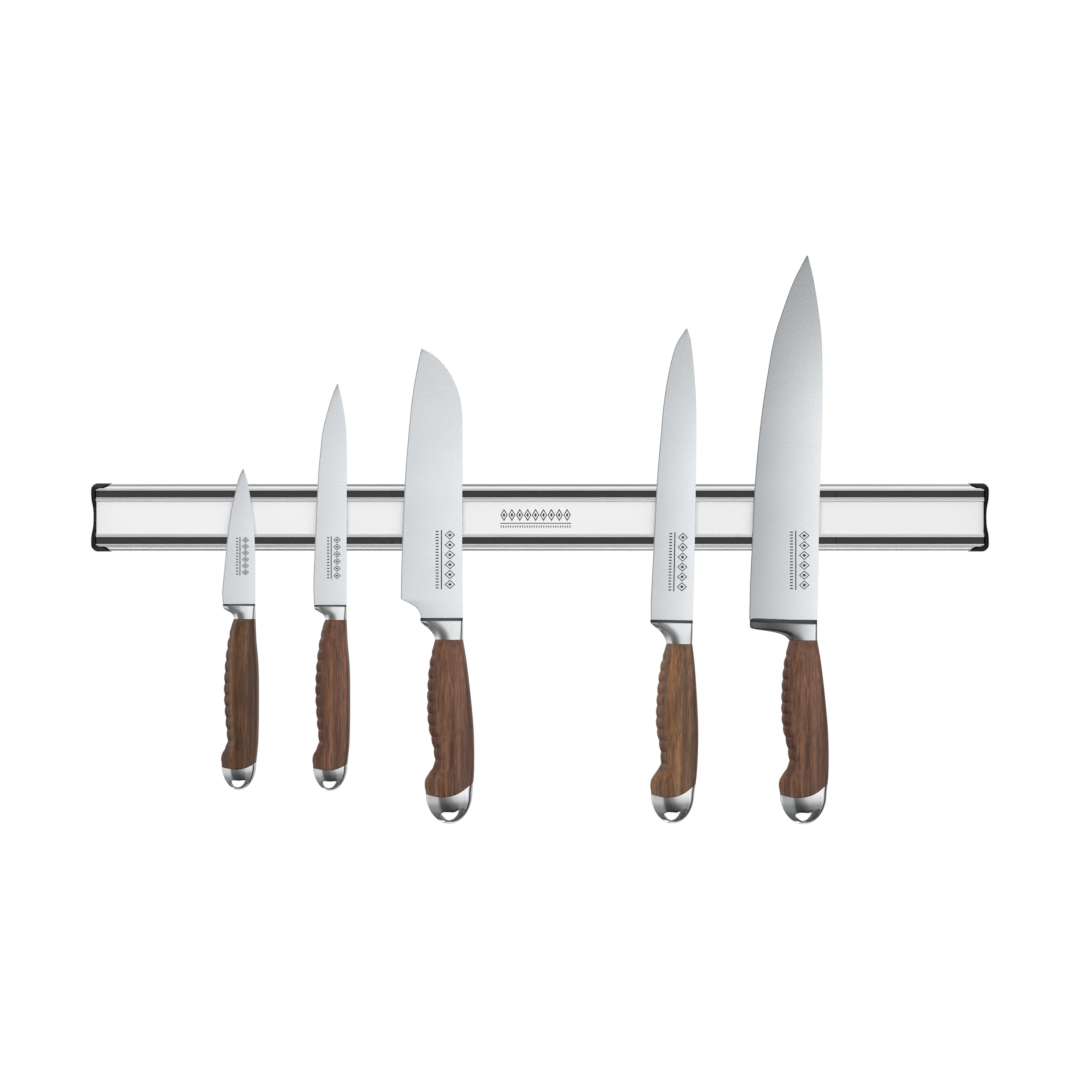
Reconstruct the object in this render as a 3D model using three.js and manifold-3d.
// A magnetic knife rack with the five knives that hang on it.
// Millimetres. +X runs along the rack, +Z is up, and the wall is the plane y = 0 behind it.
// The origin is the middle of the rack's back face, so everything visible has a negative y.

import * as THREE from "three";
import { mergeVertices } from "three/addons/utils/BufferGeometryUtils.js";
import Module from "manifold-3d";

// ---------------------------------------------------------------- driving dimensions: rack

const RACK_LENGTH = 600; // the extrusion alone, without its end caps
const HALF_HEIGHT = 22.5; // centre line to the top of a shoulder
const DEPTH = 15; // wall to the front lips
const WEB = 2.5; // back web thickness
const SHOULDER_FLAT = 6; // the shoulder is level this far out from the wall
const SHOULDER_FRONT = 19.6; // height of the shoulder where it reaches the front lip

const CHANNEL_TOP = 19; // the magnet channel, measured from the centre line
const CHANNEL_BOTTOM = 12.4;
const FIN_INNER = 11; // inner face of the fin between magnet channel and cover strip
const SHADOW_GROOVE = 0.6; // width of the slot left open between the fin's lip and the steel strip
const GROOVE_REACH = 0.5; // how far the cover strip's groove cuts into the fin
const STRIP_FRONT = 13; // cover strip's front face, out from the wall
const STRIP_THICKNESS = 1.5;

const FIT = 0.1; // clearance between sliding or stacked flat parts
const CUT_GAP = 0.25; // clearance round a part that is cut to clear its neighbour
const POLE_THICKNESS = 0.9;
const POLE_FRONT = 15.3; // the steel edges stand just proud of the lips, so blades touch them
const MAGNET_FRONT = 14.9;
const MAGNETS_PER_RAIL = 6;

const SCREW_HOLE_DIAMETER = 4.5;
const SCREW_HOLE_SPACING = 500;

const CAP_THICKNESS = 3;
const CAP_WAIST = 1.7; // how much thinner the cap is at mid height
const CAP_SKIN = 0.4; // thickness of the lugs that lie on the shoulders
const LUG_LENGTH = 9;
const TONGUE_LENGTH = 10;

// ---------------------------------------------------------------- driving dimensions: knives

// Each knife has its own frame: u = x to the right from the spine, v = z up from the heel line,
// and its mid plane at y = 0. Outlines are [v, u] pairs from low to high, joined by smooth curves.

const BLADE_GAP = 0.3; // between a blade's back and the pole strips
const EDGE_THICKNESS = 0.4;
const TIP_TAPER = 0.55; // share of the spine's thickness lost at the tip
const SEAM = 0.15; // clearance between bolster, wood and butt cap
const SLOT_CLEARANCE = 0.3; // between tang and the parts that it passes through

const SMALL_GRIP = {
  woodTop: -10.2,
  // where the hooked butt starts to close in, its lowest point, and half its width and depth there
  butt: { start: -108, end: -125.5, middle: -11, halfWidth: 11.6, halfDepth: 8.2 },
  fingerSide: [
    [-108, -22.6], [-104.5, -23], [-101, -22.2], [-97.5, -20.3], [-92, -19], [-80, -20],
    [-60, -21.1], [-41, -20.4], [-25, -18.4], [-16, -16.3], [-10.2, -14.3],
  ],
  backSide: [[-108, 0.6], [-92, 2.1], [-60, 2.5], [-41, 2.1], [-25, 0.7], [-10.2, 0]],
  halfDepth: [[-108, 8.2], [-92, 8.1], [-60, 8.8], [-25, 8], [-10.2, 6.8]],
  capJoint: [[-26, -109.6], [-16.6, -111], [-8.9, -111.2], [-3, -109.4], [6, -104.5]],
  hangingHole: [
    [-16, -119.4], [-13.5, -118.9], [-10.4, -119.1], [-7, -118.8], [-4.3, -119],
    [-5.4, -121.5], [-8.2, -123.6], [-12.4, -123.8], [-15.2, -122],
  ],
  tang: { left: -11, right: -4.5, end: -114, thickness: 1.5 },
};

const LARGE_GRIP = {
  woodTop: -14.7,
  butt: { start: -118, end: -138.8, middle: -9.2, halfWidth: 15.7, halfDepth: 10.2 },
  fingerSide: [
    [-118, -24.9], [-113, -25.7], [-109, -25.2], [-105, -22.9], [-100.5, -20], [-96, -19.2],
    [-88, -20.1], [-72, -23.5], [-56, -24.1], [-40, -23.5], [-27, -21.8], [-14.7, -18.6],
  ],
  backSide: [[-118, 6.5], [-104, 7.7], [-80, 7.6], [-60, 6.1], [-31, 2.8], [-14.7, 0.1]],
  halfDepth: [[-118, 10.2], [-96, 9.9], [-60, 10.8], [-31, 9.7], [-14.7, 8.2]],
  capJoint: [
    [-28, -118.4], [-20, -119.9], [-14.2, -120.5], [-7, -119.7], [-1, -117.2], [6, -111.8],
    [10, -108.2],
  ],
  hangingHole: [
    [-14.6, -132.9], [-12.9, -131], [-9.5, -130.7], [-5.6, -130.8], [-2.4, -129.3], [0, -128.4],
    [1.3, -130.2], [-0.6, -133.8], [-4.6, -136.4], [-9.6, -136.5],
  ],
  tang: { left: -13.5, right: -5.5, end: -124, thickness: 2 },
};

// The same grip as made for one knife: scaled, with its wood starting at another height, and
// leaning towards the finger side by some distance per millimetre down.
function fittedGrip(grip, { woodTop, width, height, lean }) {
  const up = (v) => woodTop + height * (v - grip.woodTop);
  const across = (u, v) => width * u - lean * (woodTop - up(v));
  const side = (table) => table.map(([v, u]) => [up(v), across(u, v)]);
  const front = (table) => table.map(([u, v]) => [across(u, v), up(v)]);
  const { start, end, middle, halfWidth, halfDepth } = grip.butt;
  return {
    woodTop,
    butt: {
      start: up(start),
      end: up(end),
      middle: across(middle, start),
      halfWidth: width * halfWidth,
      halfDepth,
    },
    fingerSide: side(grip.fingerSide),
    backSide: side(grip.backSide),
    halfDepth: grip.halfDepth.map(([v, depth]) => [up(v), depth]),
    capJoint: front(grip.capJoint),
    hangingHole: front(grip.hangingHole),
    tang: grip.tang,
  };
}

const SLIM_GRIP = fittedGrip(LARGE_GRIP, { woodTop: -16, width: 0.93, height: 0.977, lean: 0.025 });
const HEEL_GRIP = fittedGrip(LARGE_GRIP, { woodTop: -13.7, width: 1, height: 1, lean: 0 });

// The collar's finger side, from the wood up to the blade.
const SMALL_COLLAR = {
  fingerSide: [
    [-10.2, -14.3], [-8.4, -14.7], [-6.5, -15.9], [-5, -18.4], [-3.5, -20.9], [-2, -21.7],
    [0, -21.7],
  ],
  halfDepth: [[-10.2, 6.8], [-5, 5.4], [0, 3.6]],
};
const LARGE_COLLAR = {
  fingerSide: [
    [-14.7, -18.7], [-12.6, -19.3], [-10, -20.8], [-7.6, -23], [-5, -26.2], [-2.6, -28.4],
    [0, -28.5],
  ],
  halfDepth: [[-14.7, 8.2], [-8, 6.6], [0, 4.4]],
};
const SLIM_COLLAR = {
  fingerSide: [
    [-16, -17.4], [-13.4, -18.2], [-10.4, -19.8], [-7.6, -22.3], [-4.8, -25.8], [-2.4, -28.4],
    [0, -28.5],
  ],
  halfDepth: [[-16, 8.2], [-8, 6.6], [0, 4.4]],
};
const HEEL_COLLAR = {
  fingerSide: [
    [-13.7, -18.7], [-12.2, -20.2], [-10, -23.6], [-8.4, -29.5], [-7.4, -36], [-6.2, -43.4],
    [-5, -45], [0, -45.2],
  ],
  halfDepth: [[-13.7, 8.2], [-8, 6.6], [0, 4.4]],
  // this collar runs out to the heel of the edge, where it is thinner
  heel: { from: -18, to: -45, share: 0.36 },
};

const KNIVES = {
  paring: {
    grip: SMALL_GRIP,
    collar: SMALL_COLLAR,
    x: -192.2,
    z: -58.2,
    tilt: 0,
    spineThickness: 1.8,
    edge: [
      [0, -21.8], [8, -22.2], [22, -20.9], [45, -18.7], [61, -16.6], [74, -13.6], [85, -11],
      [90.7, -8.4],
    ],
    spine: [[0, 0], [35, 0], [52, -0.8], [69, -2.8], [81, -4.9], [90.7, -7.6]],
  },
  utility: {
    grip: SMALL_GRIP,
    collar: SMALL_COLLAR,
    x: -130.6,
    z: -58.8,
    tilt: 0,
    spineThickness: 1.8,
    edge: [
      [0, -21.9], [12, -22.3], [28, -21.8], [85, -19.2], [101, -17.9], [118, -15.9], [134, -11.7],
      [142.5, -8.9], [148.8, -6.3],
    ],
    spine: [[0, 0], [90, 0.3], [118, -0.3], [134, -2.4], [148.8, -5.5]],
  },
  santoku: {
    grip: LARGE_GRIP,
    collar: LARGE_COLLAR,
    x: -52.1,
    z: -67.6,
    tilt: 0,
    spineThickness: 2.3,
    edge: [
      [0, -28], [2.4, -28.6], [5, -29.9], [7.2, -32], [9.4, -35.6], [12.4, -41.3],
      [16, -41.7], [37, -41.3],
      [94, -38.9], [127, -36.3], [150, -33.9], [167, -31], [176, -29.2], [181.3, -27.9],
    ],
    spine: [
      [0, 0], [13, -0.3], [135, -0.3], [143, -1.1], [151, -2.7], [163, -7.8], [172, -14.2],
      [178, -20.9], [181.3, -27.1],
    ],
  },
  slicing: {
    grip: SLIM_GRIP,
    collar: SLIM_COLLAR,
    x: 103.1,
    z: -69.3,
    tilt: 1.2,
    spineThickness: 2.2,
    edge: [
      [0, -28.3], [14, -28.5], [39, -27.7], [95, -26], [124, -24.2], [144, -22.8], [160, -20.8],
      [176, -17.8], [187, -14.3], [196.4, -8.6],
    ],
    spine: [[0, 0], [39, 0.3], [108, 0], [148, -0.9], [172, -3.1], [189, -5.4], [196.4, -7.7]],
  },
  chef: {
    grip: HEEL_GRIP,
    collar: HEEL_COLLAR,
    x: 186.8,
    z: -69,
    tilt: 0,
    spineThickness: 2.6,
    edge: [
      [0, -45.6], [26, -45], [60, -43.3], [95, -41.6], [136, -37.6], [168, -32.9], [190, -28.8],
      [209, -22.9], [229, -15.4], [245.4, -7],
    ],
    spine: [
      [0, 0], [38, 0.9], [99, 2.2], [140, 3.5], [172, 3.6], [192, 2.9], [209, 0.9], [229, -2.2],
      [245.4, -6],
    ],
  },
};

const GRIP_STEPS = 15;
const BUTT_STEPS = 5;
const COLLAR_STEPS = 8;
const RING_POINTS = 20; // points round a grip or a collar
const RING_SQUARENESS = 2.6; // 2 is an ellipse, more is squarer

// ---------------------------------------------------------------- materials

function finish(colour, roughness, metalness) {
  return new THREE.MeshStandardMaterial({ color: colour, roughness, metalness });
}

const aluminium = finish(0xd8dadb, 0.25, 1);
const satinAluminium = finish(0xe9e9e9, 0.45, 0.8);
const poleSteel = finish(0xb9bcbe, 0.35, 1);
const ferrite = finish(0x3f3f41, 0.7, 0.1);
const blackPlastic = finish(0x17181a, 0.45, 0);
const bladeSteel = finish(0xd5d9da, 0.3, 1);
const polishedSteel = finish(0xc4c8cb, 0.12, 1);
const walnut = finish(0x6b4c3d, 0.55, 0);

// ---------------------------------------------------------------- geometry helpers

const kernel = await Module();
kernel.setup();

function toSolid(geometry) {
  const bare = geometry.clone();
  bare.deleteAttribute("normal");
  bare.deleteAttribute("uv");
  const merged = mergeVertices(bare, 1e-4);
  return new kernel.Manifold(
    new kernel.Mesh({
      numProp: 3,
      vertProperties: Float32Array.from(merged.attributes.position.array),
      triVerts: Uint32Array.from(merged.index.array),
    }),
  );
}

function toGeometry(solid) {
  const mesh = solid.getMesh();
  const geometry = new THREE.BufferGeometry();
  geometry.setAttribute("position", new THREE.BufferAttribute(mesh.vertProperties, 3));
  geometry.setIndex(new THREE.BufferAttribute(mesh.triVerts, 1));
  geometry.computeVertexNormals();
  return geometry;
}

function named(name, geometry, material) {
  const mesh = new THREE.Mesh(geometry, material);
  mesh.name = name;
  return mesh;
}

// A smooth curve through [position, value] pairs, read at one position (non-uniform Catmull-Rom).
function smoothAt(table, at) {
  const last = table.length - 1;
  const slope = (i) => {
    const before = table[Math.max(i - 1, 0)];
    const after = table[Math.min(i + 1, last)];
    return (after[1] - before[1]) / (after[0] - before[0]);
  };
  let i = 0;
  while (i < last - 1 && at > table[i + 1][0]) i += 1;
  const [start, low] = table[i];
  const [end, high] = table[i + 1];
  const span = end - start;
  const t = (at - start) / span;
  const blend = t * t * (3 - 2 * t);
  const leave = t * (1 - t) * (1 - t) * span * slope(i);
  const arrive = t * t * (t - 1) * span * slope(i + 1);
  return low + (high - low) * blend + leave + arrive;
}

// A closed skin over rings of points, lowest ring first, each ring anticlockwise seen from above.
function loft(rings) {
  const count = rings[0].length;
  const corners = rings.flat().flatMap((p) => [p.x, p.y, p.z]);
  const faces = [];
  for (let i = 0; i + 1 < rings.length; i += 1) {
    for (let j = 0; j < count; j += 1) {
      const a = i * count + j;
      const b = i * count + ((j + 1) % count);
      faces.push(a, b, b + count, a, b + count, a + count);
    }
  }
  const addEnd = (ring, offset, flip) => {
    const middle = corners.length / 3;
    const centre = ring.reduce((sum, p) => sum.add(p), new THREE.Vector3()).divideScalar(count);
    corners.push(centre.x, centre.y, centre.z);
    for (let j = 0; j < count; j += 1) {
      const next = (j + 1) % count;
      faces.push(middle, offset + (flip ? next : j), offset + (flip ? j : next));
    }
  };
  addEnd(rings[0], 0, true);
  addEnd(rings[rings.length - 1], (rings.length - 1) * count, false);
  const geometry = new THREE.BufferGeometry();
  geometry.setAttribute("position", new THREE.Float32BufferAttribute(corners, 3));
  geometry.setIndex(faces);
  return geometry;
}

// A rounded-rectangle ring at height z, optionally thinner towards its left end.
function roundedRing(z, left, right, halfDepth, thinning = () => 1) {
  const middle = (left + right) / 2;
  const halfWidth = (right - left) / 2;
  const power = 2 / RING_SQUARENESS;
  const ring = [];
  for (let i = 0; i < RING_POINTS; i += 1) {
    const angle = (2 * Math.PI * (i + 0.5)) / RING_POINTS;
    const across = Math.sign(Math.cos(angle)) * Math.abs(Math.cos(angle)) ** power;
    const deep = Math.sign(Math.sin(angle)) * Math.abs(Math.sin(angle)) ** power;
    const x = middle + halfWidth * across;
    ring.push(new THREE.Vector3(x, halfDepth * deep * thinning(x), z));
  }
  return ring;
}

// A shape drawn in (y, z), carried along x.
function prismAlongX(shape, from, to) {
  const geometry = new THREE.ExtrudeGeometry(shape, { depth: to - from, bevelEnabled: false });
  geometry.applyMatrix4(
    new THREE.Matrix4().makeBasis(
      new THREE.Vector3(0, 1, 0),
      new THREE.Vector3(0, 0, 1),
      new THREE.Vector3(1, 0, 0),
    ),
  );
  return geometry.translate(from, 0, 0);
}

// A shape drawn in (x, z) as seen from the front, carried from y = -front to y = -back.
function prismAlongY(shape, front, back) {
  const geometry = new THREE.ExtrudeGeometry(shape, { depth: front - back, bevelEnabled: false });
  geometry.applyMatrix4(
    new THREE.Matrix4().makeBasis(
      new THREE.Vector3(1, 0, 0),
      new THREE.Vector3(0, 0, 1),
      new THREE.Vector3(0, -1, 0),
    ),
  );
  return geometry.translate(0, -back, 0);
}

function block(left, right, front, back, low, high) {
  const geometry = new THREE.BoxGeometry(right - left, front - back, high - low);
  return geometry.translate((left + right) / 2, -(front + back) / 2, (low + high) / 2);
}

function shapeOf(points) {
  return new THREE.Shape(points.map(([a, b]) => new THREE.Vector2(a, b)));
}

// ---------------------------------------------------------------- rack

// The sloped, slightly crowned top of the rack, from the wall to the front lip, as [out, up],
// standing off the true surface by some distance.
function shoulderLine(standOff) {
  const level = HALF_HEIGHT + standOff;
  const slope = new THREE.QuadraticBezierCurve(
    new THREE.Vector2(SHOULDER_FLAT, level),
    new THREE.Vector2(SHOULDER_FLAT + 5, level),
    new THREE.Vector2(DEPTH + standOff, SHOULDER_FRONT + standOff),
  );
  const line = [[0, level]];
  for (const point of slope.getPoints(12)) line.push([point.x, point.y]);
  return line;
}

// Half of the extrusion's section as [out, up], from the back's top corner to the centre line.
function upperSection() {
  const grooveBack = STRIP_FRONT - STRIP_THICKNESS - FIT;
  const grooveFront = STRIP_FRONT + FIT;
  return [
    ...shoulderLine(0),
    [DEPTH, CHANNEL_TOP],
    [WEB, CHANNEL_TOP],
    [WEB, CHANNEL_BOTTOM],
    [grooveFront, CHANNEL_BOTTOM],
    [grooveFront, CHANNEL_BOTTOM - SHADOW_GROOVE],
    [DEPTH - 1, CHANNEL_BOTTOM - SHADOW_GROOVE],
    [DEPTH - 1, FIN_INNER],
    [grooveFront, FIN_INNER],
    [grooveFront, FIN_INNER + GROOVE_REACH],
    [grooveBack, FIN_INNER + GROOVE_REACH],
    [grooveBack, FIN_INNER],
    [WEB, FIN_INNER],
  ];
}

function mirroredSection(half) {
  const lower = half.map(([out, up]) => [out, -up]).reverse();
  return shapeOf([...half, ...lower].map(([out, up]) => [-out, up]));
}

function rackExtrusion() {
  const section = mirroredSection(upperSection());
  let solid = toSolid(prismAlongX(section, -RACK_LENGTH / 2, RACK_LENGTH / 2));
  const radius = SCREW_HOLE_DIAMETER / 2;
  for (const side of [-1, 1]) {
    const hole = new THREE.CylinderGeometry(radius, radius, 4 * WEB, 24);
    hole.translate((side * SCREW_HOLE_SPACING) / 2, 0, 0);
    solid = solid.subtract(toSolid(hole));
  }
  return named("rack_extrusion", toGeometry(solid), aluminium);
}

function coverStrip() {
  const halfLength = RACK_LENGTH / 2 - CUT_GAP;
  const halfWidth = FIN_INNER + GROOVE_REACH - FIT;
  const back = STRIP_FRONT - STRIP_THICKNESS;
  const geometry = block(-halfLength, halfLength, STRIP_FRONT, back, -halfWidth, halfWidth);
  return named("cover_strip", geometry, satinAluminium);
}

// Two steel strips and a row of magnets between them; side is 1 for the upper rail and -1 for
// the lower.
function magnetRail(rail, side) {
  const halfLength = RACK_LENGTH / 2 - CUT_GAP;
  const back = WEB + FIT;
  const bar = (left, right, front, low, high) => {
    const [bottom, top] = side > 0 ? [low, high] : [-high, -low];
    return block(left, right, front, back, bottom, top);
  };
  const strip = (name, low) => {
    const geometry = bar(-halfLength, halfLength, POLE_FRONT, low, low + POLE_THICKNESS);
    return named(`${rail}_rail_${name}_pole`, geometry, poleSteel);
  };
  const parts = [
    strip("inner", CHANNEL_BOTTOM + FIT),
    strip("outer", CHANNEL_TOP - FIT - POLE_THICKNESS),
  ];
  const low = CHANNEL_BOTTOM + POLE_THICKNESS + 2 * FIT;
  const high = CHANNEL_TOP - POLE_THICKNESS - 2 * FIT;
  const pitch = (2 * halfLength) / MAGNETS_PER_RAIL;
  for (let i = 0; i < MAGNETS_PER_RAIL; i += 1) {
    const left = -halfLength + i * pitch + FIT;
    const geometry = bar(left, left + pitch - 2 * FIT, MAGNET_FRONT, low, high);
    parts.push(named(`${rail}_magnet_${i + 1}`, geometry, ferrite));
  }
  return parts;
}

// The cap as seen from the front: a waisted outer face, and a lug on each shoulder that narrows
// inwards. This is the right-hand cap.
function capFrontShape() {
  const inner = RACK_LENGTH / 2;
  const outer = inner + CAP_THICKNESS;
  const top = HALF_HEIGHT + CUT_GAP + CAP_SKIN;
  const corner = { inwards: 2.9, down: 5.4 };
  const shape = new THREE.Shape();
  shape.moveTo(inner - LUG_LENGTH, -top);
  shape.lineTo(outer - corner.inwards, -top);
  shape.quadraticCurveTo(outer - 0.2, -top + 1.2, outer, -top + corner.down);
  shape.bezierCurveTo(outer, -8, outer - CAP_WAIST, -10, outer - CAP_WAIST, 0);
  shape.bezierCurveTo(outer - CAP_WAIST, 10, outer, 8, outer, top - corner.down);
  shape.quadraticCurveTo(outer - 0.2, top - 1.2, outer - corner.inwards, top);
  shape.lineTo(inner - LUG_LENGTH, top);
  shape.lineTo(inner - LUG_LENGTH + 1, HALF_HEIGHT - 0.5);
  shape.lineTo(inner - 1, CHANNEL_TOP);
  shape.lineTo(inner - 1, -CHANNEL_TOP);
  shape.lineTo(inner - LUG_LENGTH + 1, -HALF_HEIGHT + 0.5);
  return shape;
}

function endCap(name, side) {
  const inner = RACK_LENGTH / 2;
  const skin = mirroredSection(shoulderLine(CUT_GAP + CAP_SKIN));
  const rack = mirroredSection(shoulderLine(CUT_GAP));
  const beyond = 2 * LUG_LENGTH;
  const cleared = [
    prismAlongX(rack, inner - beyond, inner + CUT_GAP),
    // nothing lies in front of the magnets
    block(inner - beyond, inner + CUT_GAP, 2 * DEPTH, 0, -CHANNEL_TOP, CHANNEL_TOP),
  ];
  let solid = toSolid(prismAlongX(skin, inner - LUG_LENGTH - 1, inner + CAP_THICKNESS + 1));
  solid = solid.intersect(toSolid(prismAlongY(capFrontShape(), 2 * DEPTH, CUT_GAP)));
  for (const space of cleared) solid = solid.subtract(toSolid(space));
  const tongueHigh = FIN_INNER - CUT_GAP;
  const tongueFront = STRIP_FRONT - STRIP_THICKNESS - CUT_GAP;
  const tongueBack = WEB + CUT_GAP;
  const tongueEnd = inner - TONGUE_LENGTH;
  const tongue = block(tongueEnd, inner + 1, tongueFront, tongueBack, -tongueHigh, tongueHigh);
  solid = solid.add(toSolid(tongue));
  const mesh = named(name, toGeometry(solid), blackPlastic);
  mesh.rotation.y = side > 0 ? 0 : Math.PI;
  return mesh;
}

// ---------------------------------------------------------------- knives

function bladeSolid(knife) {
  const { edge, spine, spineThickness, grip } = knife;
  const length = spine[spine.length - 1][0];
  const heights = [...new Set([...edge, ...spine].map(([v]) => v))].sort((a, b) => a - b);
  const rings = heights.map((v) => {
    const left = smoothAt(edge, v);
    const right = smoothAt(spine, v);
    const thick = (spineThickness * (1 - (TIP_TAPER * v) / length)) / 2;
    const thin = Math.min(EDGE_THICKNESS / 2, thick);
    return [
      new THREE.Vector3(left, -thin, v),
      new THREE.Vector3(right, -thick, v),
      new THREE.Vector3(right, thick, v),
      new THREE.Vector3(left, thin, v),
    ];
  });
  const { left, right, end, thickness } = grip.tang;
  const tang = block(left, right, thickness / 2, -thickness / 2, end, 0.5);
  return toSolid(loft(rings)).add(toSolid(tang));
}

function tangSlot(grip) {
  const { left, right, end, thickness } = grip.tang;
  const side = thickness / 2 + SLOT_CLEARANCE;
  const low = end - SLOT_CLEARANCE;
  return toSolid(block(left - SLOT_CLEARANCE, right + SLOT_CLEARANCE, side, -side, low, 5));
}

function collarSolid(knife) {
  const { collar, grip } = knife;
  const low = grip.woodTop;
  const heel = collar.heel;
  const thinning = (x) => {
    if (!heel || x > heel.from) return 1;
    return 1 - (1 - heel.share) * ((x - heel.from) / (heel.to - heel.from));
  };
  const rings = [];
  for (let i = 0; i <= COLLAR_STEPS; i += 1) {
    const v = low - ((low + SEAM) * i) / COLLAR_STEPS;
    const left = smoothAt(collar.fingerSide, v);
    const right = smoothAt(grip.backSide, low);
    rings.push(roundedRing(v, left, right, smoothAt(collar.halfDepth, v), thinning));
  }
  return toSolid(loft(rings)).subtract(tangSlot(grip));
}

// Wood and butt cap in one: the two are parted along the cap joint afterwards.
function gripSolid(grip) {
  const { start, end, middle, halfWidth, halfDepth } = grip.butt;
  const rings = [];
  for (let i = BUTT_STEPS; i > 0; i -= 1) {
    const turn = (Math.PI / 2) * (i / (BUTT_STEPS + 0.25));
    const v = start + (end - start) * Math.sin(turn);
    const share = Math.cos(turn);
    rings.push(
      roundedRing(v, middle - halfWidth * share, middle + halfWidth * share, halfDepth * share),
    );
  }
  rings[0].forEach((p) => p.setZ(end));
  const top = grip.woodTop - SEAM;
  for (let i = 0; i <= GRIP_STEPS; i += 1) {
    const v = start + ((top - start) * i) / GRIP_STEPS;
    const [left, right] = [smoothAt(grip.fingerSide, v), smoothAt(grip.backSide, v)];
    rings.push(roundedRing(v, left, right, smoothAt(grip.halfDepth, v)));
  }
  return toSolid(loft(rings));
}

// Everything below the cap joint, lowered by some distance.
function belowJoint(grip, lowered) {
  const floor = grip.butt.end - 10;
  const points = new THREE.SplineCurve(
    grip.capJoint.map(([x, z]) => new THREE.Vector2(x, z - lowered)),
  ).getPoints(24);
  const outline = points.map((p) => [p.x, p.y]);
  const corners = [[outline[0][0], floor], [outline[outline.length - 1][0], floor]];
  return toSolid(prismAlongY(shapeOf([...corners, ...outline.reverse()]), 30, -30));
}

function hangingHole(grip) {
  const path = new THREE.CatmullRomCurve3(
    grip.hangingHole.map(([x, z]) => new THREE.Vector3(x, z, 0)),
    true,
  );
  const outline = path.getPoints(24).slice(0, -1).map((p) => [p.x, p.y]);
  return toSolid(prismAlongY(shapeOf(outline.reverse()), 30, -30));
}

function knife(name) {
  const facts = KNIVES[name];
  const { grip, edge, spineThickness, tilt, x, z } = facts;
  const whole = gripSolid(grip);
  const slot = tangSlot(grip);
  const handle = whole.subtract(belowJoint(grip, 0)).subtract(slot);
  const cap = whole.intersect(belowJoint(grip, SEAM)).subtract(hangingHole(grip)).subtract(slot);

  const group = new THREE.Group();
  group.add(
    named(`${name}_blade`, toGeometry(bladeSolid(facts)), bladeSteel),
    named(`${name}_bolster`, toGeometry(collarSolid(facts)), polishedSteel),
    named(`${name}_handle`, toGeometry(handle), walnut),
    named(`${name}_butt_cap`, toGeometry(cap), polishedSteel),
  );
  // the blade is a wedge, so the knife turns until the blade's back lies flat on the magnets
  const width = -Math.min(...edge.map(([, u]) => u));
  const turn = -Math.atan((spineThickness - EDGE_THICKNESS) / 2 / width);
  group.rotation.set(0, THREE.MathUtils.degToRad(tilt), turn);
  group.position.set(x, -(POLE_FRONT + BLADE_GAP + spineThickness / 2), z);
  return group;
}

// ---------------------------------------------------------------- assembly

const rackWithKnives = new THREE.Group();
rackWithKnives.add(rackExtrusion());
rackWithKnives.add(coverStrip());
rackWithKnives.add(endCap("end_cap_left", -1));
rackWithKnives.add(endCap("end_cap_right", 1));
rackWithKnives.add(...magnetRail("upper", 1));
rackWithKnives.add(...magnetRail("lower", -1));
for (const name of Object.keys(KNIVES)) {
  rackWithKnives.add(knife(name));
}

export default rackWithKnives;
